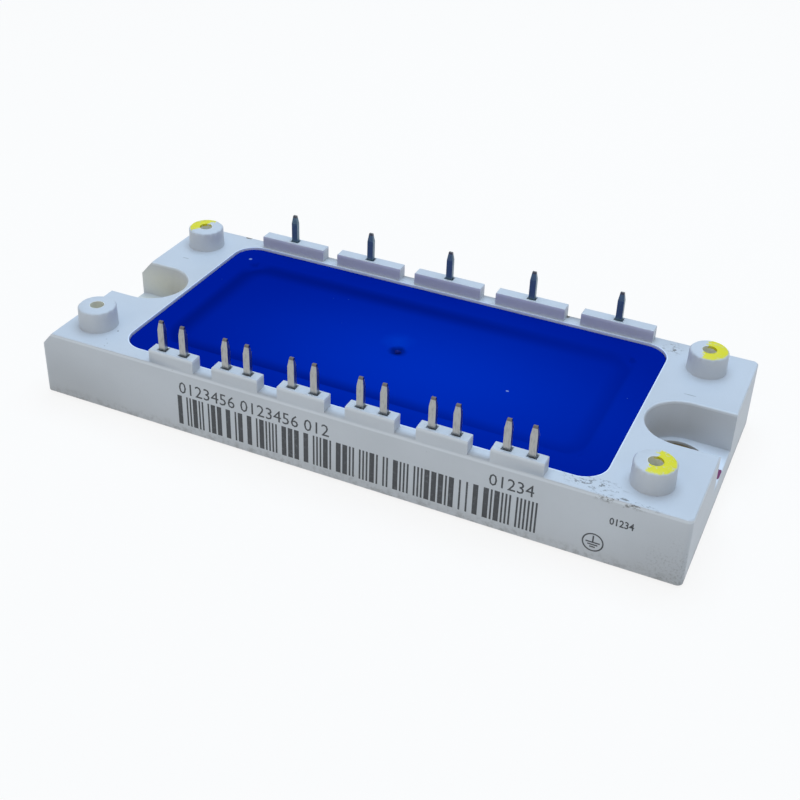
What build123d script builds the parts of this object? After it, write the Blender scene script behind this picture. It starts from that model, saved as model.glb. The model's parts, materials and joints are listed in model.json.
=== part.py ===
from build123d import *
import math
import os

# Six-pack power semiconductor module: a moulded housing frame bonded over a metal base plate,
# with a sunk lid, twelve control terminals in pairs along the front, five power terminals along
# the back, four board posts, and three identical half-bridge substrates under silicone gel.
# Millimetres. +Z is up from the underside of the base plate, +X runs along the length and +Y
# points to the power terminals; the origin is the centre of the underside.

os.makedirs("parts", exist_ok=True)

# Housing outline
length = 107.5
width = 45.0
skirt_z = 0.4
top_z = 11.8
corner_radius = 0.9
top_edge_chamfer = 0.2
end_chamfer_run = 2.4
end_chamfer_drop = 2.8

# Base plate and the bead that bonds the frame to it
plate_thickness = 3.0
skirt_wall = 1.5
plate_clearance = 0.15
plate_corner_radius = 2.5
plate_edge_chamfer = 0.3
bead_thickness = 0.2
bead_setback = 0.1
bead_hole_margin = 0.25

# Mounting holes, the end notches over them and the bushes in the notch floors
hole_inset = 7.25
hole_radius = 2.75
notch_radius = 5.8
notch_offset = 0.5
notch_rim_chamfer = 0.4
floor_z = 5.0
floor_edge_radius = 0.3
floor_hole_radius = 4.65
bush_clearance = 0.05
bush_drop = 0.3
bush_chamfer = 0.2

# Board posts
post_inset = 6.1
post_top_z = 15.4
post_top_radius = 3.1
post_foot_radius = 3.2
post_edge_chamfer = 0.3
post_hole_radius = 1.15
post_hole_depth = 9.0

# Lid and its opening, which leaves a wide rail at each end and a narrow one along each side
end_rail = 13.6
side_rail = 2.7
opening_radius = 4.0
lid_clearance = 0.1
lid_seat_z = 9.6
lid_rim_z = 11.5
lid_edge_chamfer = 0.2
border_end = 4.15
border_side = 4.6
step_radius = 1.6
step_run = 0.9
step_depth = 0.7
gate_mark_radius = 1.3
gate_mark_depth = 0.3
gate_mark_floor_radius = 0.35

# Cavity: a ledge carries the lid, and a lower shelf carries the terminal feet
lid_ledge_end = 0.85
lid_ledge_side = 0.8
shelf_end = 1.3
shelf_side = 1.8
cavity_radius = 2.0
shelf_z = 6.2
gel_z = 8.7

# Terminals and their pedestals, with two pairs of control terminals to each substrate
pair_count = 6
power_count = 5
pin_row_inset = 1.25
pin_width = 1.1
pin_thickness = 0.8
pin_tip_z = 19.2
pin_tip_length = 1.5
pin_tip_inset = 0.22
pin_clearance = 0.05
foot_thickness = 0.8
foot_setback = 0.3
control_foot_width = 1.8
power_foot_width = 3.0
pedestal_z = 14.1
pedestal_depth = 2.1
pedestal_edge_chamfer = 0.15
control_pedestal_length = 8.0
power_pedestal_length = 12.4
slot_margin = 0.25
slot_depth = 0.6

# Substrates: solder, back copper, ceramic and track copper, one stack for each half-bridge
leg_count = 3
ceramic_end_gap = 4.14
ceramic_gap = 0.86
ceramic_width = 30.0
ceramic_thickness = 0.63
copper_margin = 0.8
copper_thickness = 0.3
copper_gap = 0.8
solder_thickness = 0.15
solder_setback = 0.1

# Chips
chip_thickness = 0.2
chip_solder_thickness = 0.08
igbt_side = 5.2
diode_side = 3.6
igbt_y = -0.5
diode_y = 5.6

# Track islands on a substrate, from its own centre
pad_top_y = -7.0
pad_width = 3.0
plus_strip_top_y = -4.4
plus_right_x = -1.0
minus_width = 2.6
phase_strip_bottom_y = 9.8
phase_top_y = 11.6

# Bond wires, flattened where they are welded
wire_width = 0.3
wire_height = 0.25
wire_weld = 0.6
wire_rise = 0.9
emitter_wire_pitch = 1.4
sense_inset = 0.6
gate_inset = 0.5
foot_weld_inset = 0.5
link_inset = 0.6
land_inset = 0.45
pad_weld_inset = 0.9

# Sizes that follow from those above
plate_length = length - 2 * (skirt_wall + plate_clearance)
plate_width = width - 2 * (skirt_wall + plate_clearance)
seat_z = plate_thickness + bead_thickness
hole_x = length / 2 - hole_inset
notch_x = hole_x + notch_offset
post_y = width / 2 - post_inset
opening_length = length - 2 * end_rail
opening_width = width - 2 * side_rail
upper_cavity_length = opening_length - 2 * lid_ledge_end
upper_cavity_width = opening_width - 2 * lid_ledge_side
cavity_length = upper_cavity_length - 2 * shelf_end
cavity_width = upper_cavity_width - 2 * shelf_side
step_length = opening_length - 2 * border_end
step_width = opening_width - 2 * border_side
pin_row_y = width / 2 - pin_row_inset
foot_end_y = cavity_width / 2 + foot_setback
lid_floor_z = lid_rim_z - step_depth
ceramic_room = cavity_length - 2 * ceramic_end_gap - (leg_count - 1) * ceramic_gap
ceramic_length = ceramic_room / leg_count
leg_pitch = ceramic_length + ceramic_gap
pair_pitch = leg_pitch / 2
pin_pitch = pair_pitch / 3
power_pitch = 4 * pin_pitch
copper_length = ceramic_length - 2 * copper_margin
copper_width = ceramic_width - 2 * copper_margin
back_copper_z = plate_thickness + solder_thickness
ceramic_z = back_copper_z + copper_thickness
track_z = ceramic_z + ceramic_thickness
track_top_z = track_z + copper_thickness
chip_z = track_top_z + chip_solder_thickness
chip_top_z = chip_z + chip_thickness
foot_top_z = shelf_z + foot_thickness
pair_x = [(k - (pair_count - 1) / 2) * pair_pitch for k in range(pair_count)]
control_x = [x + side * pin_pitch / 2 for x in pair_x for side in (-1, 1)]
power_x = [(k - (power_count - 1) / 2) * power_pitch for k in range(power_count)]
leg_x = [(k - (leg_count - 1) / 2) * leg_pitch for k in range(leg_count)]
hole_places = [(side * hole_x, 0) for side in (-1, 1)]
post_places = [(sx * hole_x, sy * post_y) for sx in (-1, 1) for sy in (-1, 1)]


def notch_outlines(radius, reach):
    """Draw both end notches in the open sketch, each round inside and straight out to the reach."""
    for side in (-1, 1):
        with Locations((side * notch_x, 0)):
            Circle(radius)
        with Locations((side * (notch_x + reach) / 2, 0)):
            Rectangle(reach - notch_x, 2 * radius)


# Moulded housing frame with its posts, pedestals, end notches and stepped cavity
with BuildPart() as housing_frame:
    with BuildSketch(Plane.XY.offset(skirt_z)):
        RectangleRounded(length, width, corner_radius)
    extrude(amount=top_z - skirt_z)
    chamfer(housing_frame.faces().sort_by(Axis.Z)[-1].outer_wire().edges(), top_edge_chamfer)

    # The left end has a long sloped edge, the right end is square
    with BuildSketch(Plane.XZ):
        with BuildLine():
            Polyline(
                (-length / 2, top_z),
                (-length / 2, top_z - end_chamfer_drop),
                (-length / 2 + end_chamfer_run, top_z),
                close=True,
            )
        make_face()
    extrude(amount=width / 2, both=True, mode=Mode.SUBTRACT)

    # Notches open at both ends down to a low floor, which has the seat of the bush
    with BuildSketch(Plane.XY.offset(floor_z)):
        notch_outlines(notch_radius, length / 2)
    extrude(amount=top_z - floor_z, mode=Mode.SUBTRACT)
    with BuildSketch(Plane.XY.offset(top_z)):
        notch_outlines(notch_radius + notch_rim_chamfer, length / 2 + notch_rim_chamfer)
    extrude(amount=-notch_rim_chamfer, taper=45, mode=Mode.SUBTRACT)
    floor_rims = housing_frame.edges().filter_by(Axis.Y).filter_by_position(Axis.Z, floor_z, floor_z)
    fillet(floor_rims, floor_edge_radius)
    with BuildSketch(Plane.XY.offset(seat_z)):
        with Locations(*hole_places):
            Circle(floor_hole_radius)
    extrude(amount=floor_z - seat_z, mode=Mode.SUBTRACT)

    # Recess over the base plate, stepped cavity and lid opening
    with BuildSketch(Plane.XY.offset(skirt_z)):
        RectangleRounded(
            plate_length + 2 * plate_clearance,
            plate_width + 2 * plate_clearance,
            plate_corner_radius + plate_clearance,
        )
    extrude(amount=seat_z - skirt_z, mode=Mode.SUBTRACT)
    with BuildSketch(Plane.XY.offset(seat_z)):
        RectangleRounded(cavity_length, cavity_width, cavity_radius)
    extrude(amount=shelf_z - seat_z, mode=Mode.SUBTRACT)
    with BuildSketch(Plane.XY.offset(shelf_z)):
        RectangleRounded(upper_cavity_length, upper_cavity_width, cavity_radius)
    extrude(amount=lid_seat_z - shelf_z, mode=Mode.SUBTRACT)
    with BuildSketch(Plane.XY.offset(lid_seat_z)):
        RectangleRounded(opening_length, opening_width, opening_radius)
    extrude(amount=top_z - lid_seat_z, mode=Mode.SUBTRACT)

    # Pedestals around the terminals
    pedestal_y = width / 2 - top_edge_chamfer - pedestal_depth / 2
    with BuildSketch(Plane.XY.offset(top_z)):
        with Locations(*[(x, -pedestal_y) for x in pair_x]):
            Rectangle(control_pedestal_length, pedestal_depth)
        with Locations(*[(x, pedestal_y) for x in power_x]):
            Rectangle(power_pedestal_length, pedestal_depth)
    extrude(amount=pedestal_z - top_z)
    pedestal_tops = housing_frame.faces().filter_by(Axis.Z).group_by(Axis.Z)[-1]
    chamfer(pedestal_tops.edges(), pedestal_edge_chamfer)

    # Board posts, slightly tapered, each with a blind screw hole
    with Locations(*[(x, y, top_z) for x, y in post_places]):
        Cone(
            post_foot_radius,
            post_top_radius,
            post_top_z - top_z,
            align=(Align.CENTER, Align.CENTER, Align.MIN),
        )
    post_tops = housing_frame.faces().filter_by(Axis.Z).group_by(Axis.Z)[-1]
    chamfer(post_tops.edges(), post_edge_chamfer)
    with BuildSketch(Plane.XY.offset(post_top_z)):
        with Locations(*post_places):
            Circle(post_hole_radius)
    extrude(amount=-post_hole_depth, mode=Mode.SUBTRACT)

    # Channels for the terminals: a blade slot from the shelf up, a mouth at the top and a foot
    # channel through the wall of the upper cavity
    for row, places, foot_width in (
        (-1, control_x, control_foot_width),
        (1, power_x, power_foot_width),
    ):
        blade_back_y = pin_row_y + pin_thickness / 2 + pin_clearance
        foot_channel = blade_back_y - upper_cavity_width / 2
        with BuildSketch(Plane.XY.offset(shelf_z)):
            with Locations(*[(x, row * pin_row_y) for x in places]):
                Rectangle(pin_width + 2 * pin_clearance, pin_thickness + 2 * pin_clearance)
        extrude(amount=pedestal_z - shelf_z, mode=Mode.SUBTRACT)
        with BuildSketch(Plane.XY.offset(pedestal_z)):
            with Locations(*[(x, row * pin_row_y) for x in places]):
                Rectangle(pin_width + 2 * slot_margin, pin_thickness + 2 * slot_margin)
        extrude(amount=-slot_depth, mode=Mode.SUBTRACT)
        with BuildSketch(Plane.XY.offset(shelf_z)):
            with Locations(*[(x, row * (blade_back_y - foot_channel / 2)) for x in places]):
                Rectangle(foot_width + 2 * pin_clearance, foot_channel)
        extrude(amount=foot_thickness + pin_clearance, mode=Mode.SUBTRACT)
housing_frame.part.label = "housing_frame"
export_step(housing_frame.part, "parts/housing_frame.step")

# Lid: a raised border, a soft step down to a flat panel, and the mark of its moulding gate
with BuildPart() as lid:
    with BuildSketch(Plane.XY.offset(lid_seat_z)):
        RectangleRounded(
            opening_length - 2 * lid_clearance,
            opening_width - 2 * lid_clearance,
            opening_radius - lid_clearance,
        )
    extrude(amount=lid_rim_z - lid_seat_z)
    chamfer(lid.faces().sort_by(Axis.Z)[-1].outer_wire().edges(), lid_edge_chamfer)
    with BuildSketch(Plane.XY.offset(lid_rim_z)):
        RectangleRounded(step_length, step_width, step_radius)
    step_slope = math.degrees(math.atan(step_run / step_depth))
    extrude(amount=-step_depth, taper=step_slope, mode=Mode.SUBTRACT)
    with Locations((0, 0, lid_floor_z)):
        Cone(
            gate_mark_floor_radius,
            gate_mark_radius,
            gate_mark_depth,
            align=(Align.CENTER, Align.CENTER, Align.MAX),
            mode=Mode.SUBTRACT,
        )
lid.part.label = "lid"
export_step(lid.part, "parts/lid.step")

# Base plate with the two mounting holes
with BuildPart() as base_plate:
    with BuildSketch():
        RectangleRounded(plate_length, plate_width, plate_corner_radius)
        with Locations(*hole_places):
            Circle(hole_radius, mode=Mode.SUBTRACT)
    extrude(amount=plate_thickness)
    rims = base_plate.faces().filter_by(Axis.Z)
    chamfer([e for face in rims for e in face.outer_wire().edges()], plate_edge_chamfer)
base_plate.part.label = "base_plate"
export_step(base_plate.part, "parts/base_plate.step")

# Adhesive bead between the base plate and the frame
with BuildPart() as frame_seal:
    with BuildSketch(Plane.XY.offset(plate_thickness)):
        bead_inset = plate_edge_chamfer + bead_setback
        RectangleRounded(
            plate_length - 2 * bead_inset,
            plate_width - 2 * bead_inset,
            plate_corner_radius - bead_inset,
        )
        RectangleRounded(cavity_length, cavity_width, cavity_radius, mode=Mode.SUBTRACT)
        with Locations(*hole_places):
            Circle(floor_hole_radius + bead_hole_margin, mode=Mode.SUBTRACT)
    extrude(amount=bead_thickness)
frame_seal.part.label = "frame_seal"
export_step(frame_seal.part, "parts/frame_seal.step")

# Bushes that carry the screw heads, standing on the base plate
for side, (x, y) in zip(("left", "right"), hole_places):
    with BuildPart() as mounting_bush:
        with BuildSketch(Plane.XY.offset(plate_thickness)):
            with Locations((x, y)):
                Circle(floor_hole_radius - bush_clearance)
                Circle(hole_radius, mode=Mode.SUBTRACT)
        extrude(amount=floor_z - bush_drop - plate_thickness)
        chamfer(mounting_bush.faces().sort_by(Axis.Z)[-1].outer_wire().edges(), bush_chamfer)
    mounting_bush.part.label = f"mounting_bush_{side}"
    export_step(mounting_bush.part, f"parts/mounting_bush_{side}.step")

# Terminals: a flat blade with a tapered tip, and a foot on the shelf for the bond wires
terminals = []
rows = (
    ("control_pin_{:02d}", -1, control_x, control_foot_width),
    ("power_pin_{:d}", 1, power_x, power_foot_width),
)
for name, row, places, foot_width in rows:
    for number, x in enumerate(places, start=1):
        with BuildPart() as terminal:
            foot_length = pin_row_y + pin_thickness / 2 - foot_end_y
            with BuildSketch(Plane.XY.offset(shelf_z)):
                with Locations((x, row * (foot_end_y + foot_length / 2))):
                    Rectangle(foot_width, foot_length)
            extrude(amount=foot_thickness)
            with BuildSketch(Plane.XY.offset(foot_top_z)):
                with Locations((x, row * pin_row_y)):
                    Rectangle(pin_width, pin_thickness)
            extrude(amount=pin_tip_z - pin_tip_length - foot_top_z)
            with BuildSketch(Plane.XY.offset(pin_tip_z - pin_tip_length)):
                with Locations((x, row * pin_row_y)):
                    Rectangle(pin_width, pin_thickness)
            extrude(amount=pin_tip_length, taper=math.degrees(math.atan(pin_tip_inset / pin_tip_length)))
        terminal.part.label = name.format(number)
        export_step(terminal.part, f"parts/{terminal.part.label}.step")
        terminals.append(terminal.part)

# Half-bridge stacks, all to one pattern
pad_x = [side * pair_pitch / 2 + pin * pin_pitch / 2 for side in (-1, 1) for pin in (-1, 1)]
half_x, half_y = copper_length / 2, copper_width / 2
minus_left_x = half_x - minus_width
phase_left_x = plus_right_x + copper_gap
phase_right_x = minus_left_x - copper_gap
upper_chip_x = (plus_right_x - half_x) / 2
lower_chip_x = (phase_left_x + phase_right_x) / 2
minus_bottom_y = plus_strip_top_y + copper_gap
plus_bottom_y = pad_top_y + copper_gap
minus_strip_y = phase_top_y + copper_gap
# Each rectangle is left, right, bottom, top; the islands are made of one or two of them
tracks = [
    [(-half_x, plus_right_x, plus_bottom_y, phase_strip_bottom_y - copper_gap),
     (-half_x, half_x, plus_bottom_y, plus_strip_top_y)],
    [(phase_left_x, phase_right_x, minus_bottom_y, phase_top_y),
     (-half_x, phase_right_x, phase_strip_bottom_y, phase_top_y)],
    [(minus_left_x, half_x, minus_bottom_y, half_y), (-half_x, half_x, minus_strip_y, half_y)],
] + [[(x - pad_width / 2, x + pad_width / 2, -half_y, pad_top_y)] for x in pad_x]
chips = {
    "upper_igbt": (upper_chip_x, igbt_y, igbt_side),
    "upper_diode": (upper_chip_x, diode_y, diode_side),
    "lower_igbt": (lower_chip_x, igbt_y, igbt_side),
    "lower_diode": (lower_chip_x, diode_y, diode_side),
}
inner_parts = []


def keep(part, label):
    """Label a finished inner piece, export it and remember it for the gel."""
    part.label = label
    export_step(part, f"parts/{label}.step")
    inner_parts.append(part)


for leg, cx in enumerate(leg_x, start=1):
    with BuildPart() as substrate_solder:
        with BuildSketch(Plane.XY.offset(plate_thickness)):
            with Locations((cx, 0)):
                Rectangle(copper_length - 2 * solder_setback, copper_width - 2 * solder_setback)
        extrude(amount=solder_thickness)
    keep(substrate_solder.part, f"substrate_solder_{leg}")
    with BuildPart() as back_copper:
        with BuildSketch(Plane.XY.offset(back_copper_z)):
            with Locations((cx, 0)):
                Rectangle(copper_length, copper_width)
        extrude(amount=copper_thickness)
    keep(back_copper.part, f"back_copper_{leg}")
    with BuildPart() as ceramic:
        with BuildSketch(Plane.XY.offset(ceramic_z)):
            with Locations((cx, 0)):
                Rectangle(ceramic_length, ceramic_width)
        extrude(amount=ceramic_thickness)
    keep(ceramic.part, f"ceramic_{leg}")
    with BuildPart() as copper_tracks:
        with BuildSketch(Plane.XY.offset(track_z)):
            for island in tracks:
                for left, right, bottom, top in island:
                    with Locations((cx + (left + right) / 2, (bottom + top) / 2)):
                        Rectangle(right - left, top - bottom)
        extrude(amount=copper_thickness)
    keep(copper_tracks.part, f"copper_tracks_{leg}")
    with BuildPart() as chip_solder:
        with BuildSketch(Plane.XY.offset(track_top_z)):
            for x, y, side in chips.values():
                with Locations((cx + x, y)):
                    Rectangle(side, side)
        extrude(amount=chip_solder_thickness)
    keep(chip_solder.part, f"chip_solder_{leg}")
    for chip_name, (x, y, side) in chips.items():
        with BuildPart() as chip:
            with BuildSketch(Plane.XY.offset(chip_z)):
                with Locations((cx + x, y)):
                    Rectangle(side, side)
            extrude(amount=chip_thickness)
        keep(chip.part, f"{chip_name}_{leg}")

# Bond wires of each leg, as a start and an end point on the faces they are welded to
wire_sets = {leg: [] for leg in range(1, leg_count + 1)}
for leg, cx in enumerate(leg_x, start=1):
    wires = wire_sets[leg]
    for chip_x, land_x in (
        (upper_chip_x, phase_left_x + land_inset),
        (lower_chip_x, minus_left_x + land_inset + copper_gap),
    ):
        for y in (igbt_y, igbt_y + emitter_wire_pitch, diode_y):
            wires.append(((cx + chip_x, y, chip_top_z), (cx + land_x, y, track_top_z)))
    # Gate and emitter sense wires, then the wires from the control feet to their pads
    weld_y = igbt_y - igbt_side / 2 + sense_inset
    for k, x in enumerate(pad_x):
        chip_x = (upper_chip_x, lower_chip_x)[k // 2]
        reach = igbt_side / 2 - gate_inset
        weld_x = min(max(x, chip_x - reach), chip_x + reach)
        pad_end = (cx + x, pad_top_y - pad_weld_inset, track_top_z)
        wires.append((pad_end, (cx + weld_x, weld_y, chip_top_z)))
        foot_end = (cx + x, -foot_end_y - foot_weld_inset, foot_top_z)
        wires.append((foot_end, (cx + x, -half_y + pad_weld_inset, track_top_z)))
    # Links to the next leg: plus along the front strip and minus along the back strip
    if leg < leg_count:
        next_x = cx + leg_pitch
        for y in ((plus_bottom_y + plus_strip_top_y) / 2, (minus_strip_y + half_y) / 2):
            start = (cx + half_x - link_inset, y, track_top_z)
            wires.append((start, (next_x - half_x + link_inset, y, track_top_z)))
# Power feet: plus, first phase, second phase, third phase, minus; leg and landing point of each
plus_land_y = phase_strip_bottom_y - copper_gap - pad_weld_inset
phase_land_y = (phase_strip_bottom_y + phase_top_y) / 2
minus_land_y = (minus_strip_y + half_y) / 2
side_pin_x = leg_pitch / 2 - power_pitch / 4
landings = (
    (1, -side_pin_x, plus_land_y),
    (1, phase_right_x - pad_weld_inset, phase_land_y),
    (2, 0, phase_land_y),
    (3, -side_pin_x, phase_land_y),
    (3, side_pin_x, minus_land_y),
)
for x, (leg, land_x, land_y) in zip(power_x, landings):
    start = (x, foot_end_y + foot_weld_inset, foot_top_z)
    wire_sets[leg].append((start, (leg_x[leg - 1] + land_x, land_y, track_top_z)))

for leg, wires in wire_sets.items():
    with BuildPart() as bond_wires:
        for (x1, y1, z1), (x2, y2, z2) in wires:
            span = math.hypot(x2 - x1, y2 - y1)
            along = Vector((x2 - x1) / span, (y2 - y1) / span, 0)
            crown_z = max(z1, z2) + wire_rise
            path = [
                (-wire_weld / 2, z1),
                (wire_weld / 2, z1),
                (span / 2, crown_z),
                (span - wire_weld / 2, z2),
                (span + wire_weld / 2, z2),
            ]
            upper = [(s, z + wire_height) for s, z in reversed(path)]
            with BuildSketch(Plane(origin=(x1, y1, 0), x_dir=along, z_dir=along.cross(Vector(0, 0, 1)))):
                with BuildLine():
                    Polyline(*path, *upper, close=True)
                make_face()
            extrude(amount=wire_width / 2, both=True)
    keep(bond_wires.part, f"bond_wires_{leg}")

# Silicone gel poured over the stacks and wires, clear of all that it covers
with BuildPart() as silicone_gel:
    with BuildSketch(Plane.XY.offset(plate_thickness)):
        RectangleRounded(cavity_length, cavity_width, cavity_radius)
    extrude(amount=shelf_z - plate_thickness)
    with BuildSketch(Plane.XY.offset(shelf_z)):
        RectangleRounded(upper_cavity_length, upper_cavity_width, cavity_radius)
    extrude(amount=gel_z - shelf_z)
    add(inner_parts + terminals, mode=Mode.SUBTRACT)
silicone_gel.part.label = "silicone_gel"
export_step(silicone_gel.part, "parts/silicone_gel.step")
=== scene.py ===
"""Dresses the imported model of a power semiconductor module.

The terminals and the inner stacks keep their own meshes. The frame, the lid and the base plate
are shown as merged copies. All get finishes worked out from Object coordinates. The printing on
the front wall, the dab of paint in the right notch and the gate stub are thin new pieces. Lengths
are metres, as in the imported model: +X runs along the module, -Y is the printed wall and +Z points
away from the plate.
"""

import json
import math

import bmesh
import bpy
import numpy as np
from bpy.props import FloatProperty, FloatVectorProperty, IntProperty, PointerProperty
from bpy.props import StringProperty
from mathutils import Matrix, Vector


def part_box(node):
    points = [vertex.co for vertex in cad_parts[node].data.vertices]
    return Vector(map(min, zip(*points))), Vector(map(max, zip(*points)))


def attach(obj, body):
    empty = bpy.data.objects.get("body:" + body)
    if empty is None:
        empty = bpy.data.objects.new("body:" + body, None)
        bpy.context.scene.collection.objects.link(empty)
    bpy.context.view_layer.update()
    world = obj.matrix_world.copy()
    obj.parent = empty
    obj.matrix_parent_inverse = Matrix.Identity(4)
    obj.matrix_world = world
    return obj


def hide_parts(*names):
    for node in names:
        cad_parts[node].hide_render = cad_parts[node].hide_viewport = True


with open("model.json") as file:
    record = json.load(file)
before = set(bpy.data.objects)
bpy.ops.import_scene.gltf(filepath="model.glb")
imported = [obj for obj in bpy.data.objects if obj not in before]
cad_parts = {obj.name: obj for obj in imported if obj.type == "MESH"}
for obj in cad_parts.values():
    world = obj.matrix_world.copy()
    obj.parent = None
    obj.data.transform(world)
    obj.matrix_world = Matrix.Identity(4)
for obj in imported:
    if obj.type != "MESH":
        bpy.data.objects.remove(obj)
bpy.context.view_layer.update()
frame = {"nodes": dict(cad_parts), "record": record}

bl_info = {
    "name": "Power module dresser",
    "version": (1, 0, 0),
    "blender": (4, 5, 0),
    "location": "View3D > Sidebar > Power module",
    "description": "Finishes, printing and marks for a power semiconductor module",
    "category": "Object",
}

MM = 0.001

FRAME_LOW, FRAME_HIGH = (Vector(corner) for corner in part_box("housing_frame"))
LID_HIGH = Vector(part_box("lid")[1])
BUSH_HIGH = Vector(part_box("mounting_bush_right")[1])
PIN_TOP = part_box("control_pin_01")[1][2]
POSTS = next(m["dims"] for m in frame["record"]["mounts"] if m["name"] == "board_posts")
POST_X = POSTS["spacing_x_mm"] / 2 * MM
POST_Y = POSTS["spacing_y_mm"] / 2 * MM
POST_HOLE = POSTS["hole_r_mm"] * MM
POST_TOP = FRAME_HIGH.z
WALL_Y = FRAME_LOW.y
WALL_TOP = LID_HIGH.z + 0.3 * MM
PEDESTAL_TOP = WALL_TOP + 2.3 * MM
PANEL_Z = LID_HIGH.z - 0.7 * MM
NOTCH_FLOOR = BUSH_HIGH.z + 0.3 * MM
LID_BORDER = np.array((4.15, 4.6)) * MM
OPENING_HALF = np.array(LID_HIGH.xy) + 0.1 * MM
STEP_HALF = OPENING_HALF - LID_BORDER
SLOPE_FOOT = np.array((FRAME_LOW.x, 0.0, WALL_TOP - 2.8 * MM))
EARTH_SIGN_X, EARTH_SIGN_Z = 40.72 * MM, 3.39 * MM

# The least turn between two faces that stays a sharp edge in a shown copy
FRAME_SHARP, LID_SHARP, PLATE_SHARP = math.radians(47), math.radians(50), math.radians(30)


def mm(*lengths):
    """Millimetres as metres."""
    return [length * MM for length in lengths]


# Sizes and colours that a user would change


def colour_setting(name, description, default):
    """A colour that a user can change."""
    return FloatVectorProperty(
        name=name, description=description, subtype="COLOR", size=3, min=0, max=1, default=default
    )


def length_setting(name, description, default, **limits):
    """A length that a user can change, with its default in millimetres."""
    return FloatProperty(
        name=name, description=description, unit="LENGTH", default=default * MM, **limits
    )


def share_setting(name, description, default):
    """A number from 0 to 1 that a user can change."""
    return FloatProperty(name=name, description=description, min=0, max=1, default=default)


class PlasticSettings(bpy.types.PropertyGroup):
    """The moulded pieces."""

    frame_colour: colour_setting("Frame", "Pale moulding of the frame", (0.60, 0.625, 0.665))
    frame_roughness: share_setting("Frame roughness", "0 is gloss, 1 is matt", 0.5)
    dirt_colour: colour_setting("Dirt", "Grime and rubbed-in dust", (0.075, 0.07, 0.06))
    lid_colour: colour_setting("Lid", "Deep blue of the lid", (0.0, 0.0125, 0.285))
    # Painted reflection: the paler blue over the middle of the lid's panel stands for light
    # reflected there.
    lid_sheen_colour: colour_setting(
        "Lid middle", "Paler blue over the middle of the panel", (0.0, 0.027, 0.43)
    )
    # Painted highlight: pale blue over the rim of the opening and the gap where the frame meets the
    # lid, laid over the shade there.
    rim_highlight_colour: colour_setting(
        "Rim of the opening", "Pale blue where the frame meets the lid", (0.80, 0.88, 1.0)
    )
    # Painted light: cream in the post holes and the left notch, standing for light shining through
    # the moulding.
    hole_glow_colour: colour_setting(
        "Post holes", "Cream of the moulding where light shines through", (0.92, 0.91, 0.80)
    )
    lid_roughness: share_setting("Lid roughness", "0 is gloss, 1 is matt", 0.4)
    stub_height: length_setting(
        "Gate stub", "Height of the torn stub in the gate mark", 0.42, min=0
    )


class MetalSettings(bpy.types.PropertyGroup):
    """The metal pieces."""

    terminal_colour: colour_setting(
        "Control terminals", "Tin plating of the control terminals", (0.38, 0.39, 0.39)
    )
    dull_colour: colour_setting(
        "Power terminals", "Duller plating of the power terminals", (0.12, 0.20, 0.26)
    )
    cut_colour: colour_setting(
        "Terminal tips", "Dull metal of the pressed tips", (0.10, 0.08, 0.08)
    )
    bush_colour: colour_setting("Bushes", "Tarnished yellow metal", (0.30, 0.21, 0.09))
    plate_colour: colour_setting("Base plate", "Nickel plating over copper", (0.58, 0.55, 0.50))


class PrintSettings(bpy.types.PropertyGroup):
    """Printing on the front wall."""

    ink_colour: colour_setting("Ink", "Grey of the printing", (0.054, 0.058, 0.066))
    ink_film: length_setting("Ink film", "How far the ink stands on the wall", 0.01, min=0)
    strip_left: length_setting("Bar strip left", "Left end of the strip of bars", -27.6)
    strip_right: length_setting("Bar strip right", "Right end of the strip of bars", 32.3)
    strip_bottom: length_setting("Bar strip bottom", "Lower edge of the bars", 1.85)
    strip_top: length_setting("Bar strip top", "Upper edge of the bars", 7.25)
    narrow_bar: length_setting("Narrow bar", "Width of a narrow bar or gap", 0.28)
    wide_bar: length_setting("Wide bar", "Width of a wide bar or gap", 0.78)
    wide_share: share_setting("Wide share", "Share of wide bars and gaps", 0.36)
    bar_order: IntProperty(
        name="Bar order", description="Seed of the order of the bars", default=11,
    )
    long_numbers: StringProperty(
        name="Long row", description="Plain numbers over the bars", default="0123456 0123456 012",
    )
    short_numbers: StringProperty(
        name="Short row", description="Plain numbers at the bars' right end", default="01234",
    )
    side_numbers: StringProperty(
        name="Side row", description="Small plain numbers over the earth sign", default="01234",
    )
    sign_radius: length_setting("Earth sign", "Radius of the earth sign's ring", 1.48)
    line_width: length_setting("Line", "Width of the earth sign's lines", 0.22)


class MarkSettings(bpy.types.PropertyGroup):
    """Paint marks put on by hand."""

    post_colour: colour_setting("Post paint", "Yellow paint on three posts", (0.78, 0.70, 0.0))
    notch_colour: colour_setting(
        "Notch paint", "Dark pink paint in the right notch", (0.17, 0.014, 0.10)
    )
    paint_film: length_setting("Paint film", "Thickness of the paint in the notch", 0.04)


class StageSettings(bpy.types.PropertyGroup):
    """Camera, lamps and floor."""

    camera_place: FloatVectorProperty(
        name="Camera", description="Where the camera stands", subtype="XYZ", unit="LENGTH",
        size=3, default=(0.069543, -0.156999, 0.116739),
    )
    camera_aim: FloatVectorProperty(
        name="Aim", description="The point that the camera looks at", subtype="XYZ",
        unit="LENGTH", size=3, default=(-0.003006, 0.007605, 0.008),
    )
    camera_roll: FloatProperty(
        name="Roll", description="Tilt of the camera about its line of sight",
        subtype="ANGLE", default=math.radians(1.975),
    )
    camera_lens: FloatProperty(
        name="Lens", description="Focal length in millimetres", min=1, default=56.011,
    )
    camera_shift: FloatProperty(
        name="Shift", description="Vertical shift of the picture's frame", default=-0.075,
    )
    floor_colour: colour_setting("Floor", "Pale floor", (0.95, 0.89, 0.82))
    floor_white: share_setting(
        "Floor white", "Share of plain white where the floor is seen", 0.85
    )
    sky_level: FloatProperty(
        name="Sky", description="Light from all round", min=0, default=0.37,
    )
    lamp_level: FloatProperty(
        name="Lamps", description="Share of the lamps' full power", min=0, default=1.0,
    )


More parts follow.
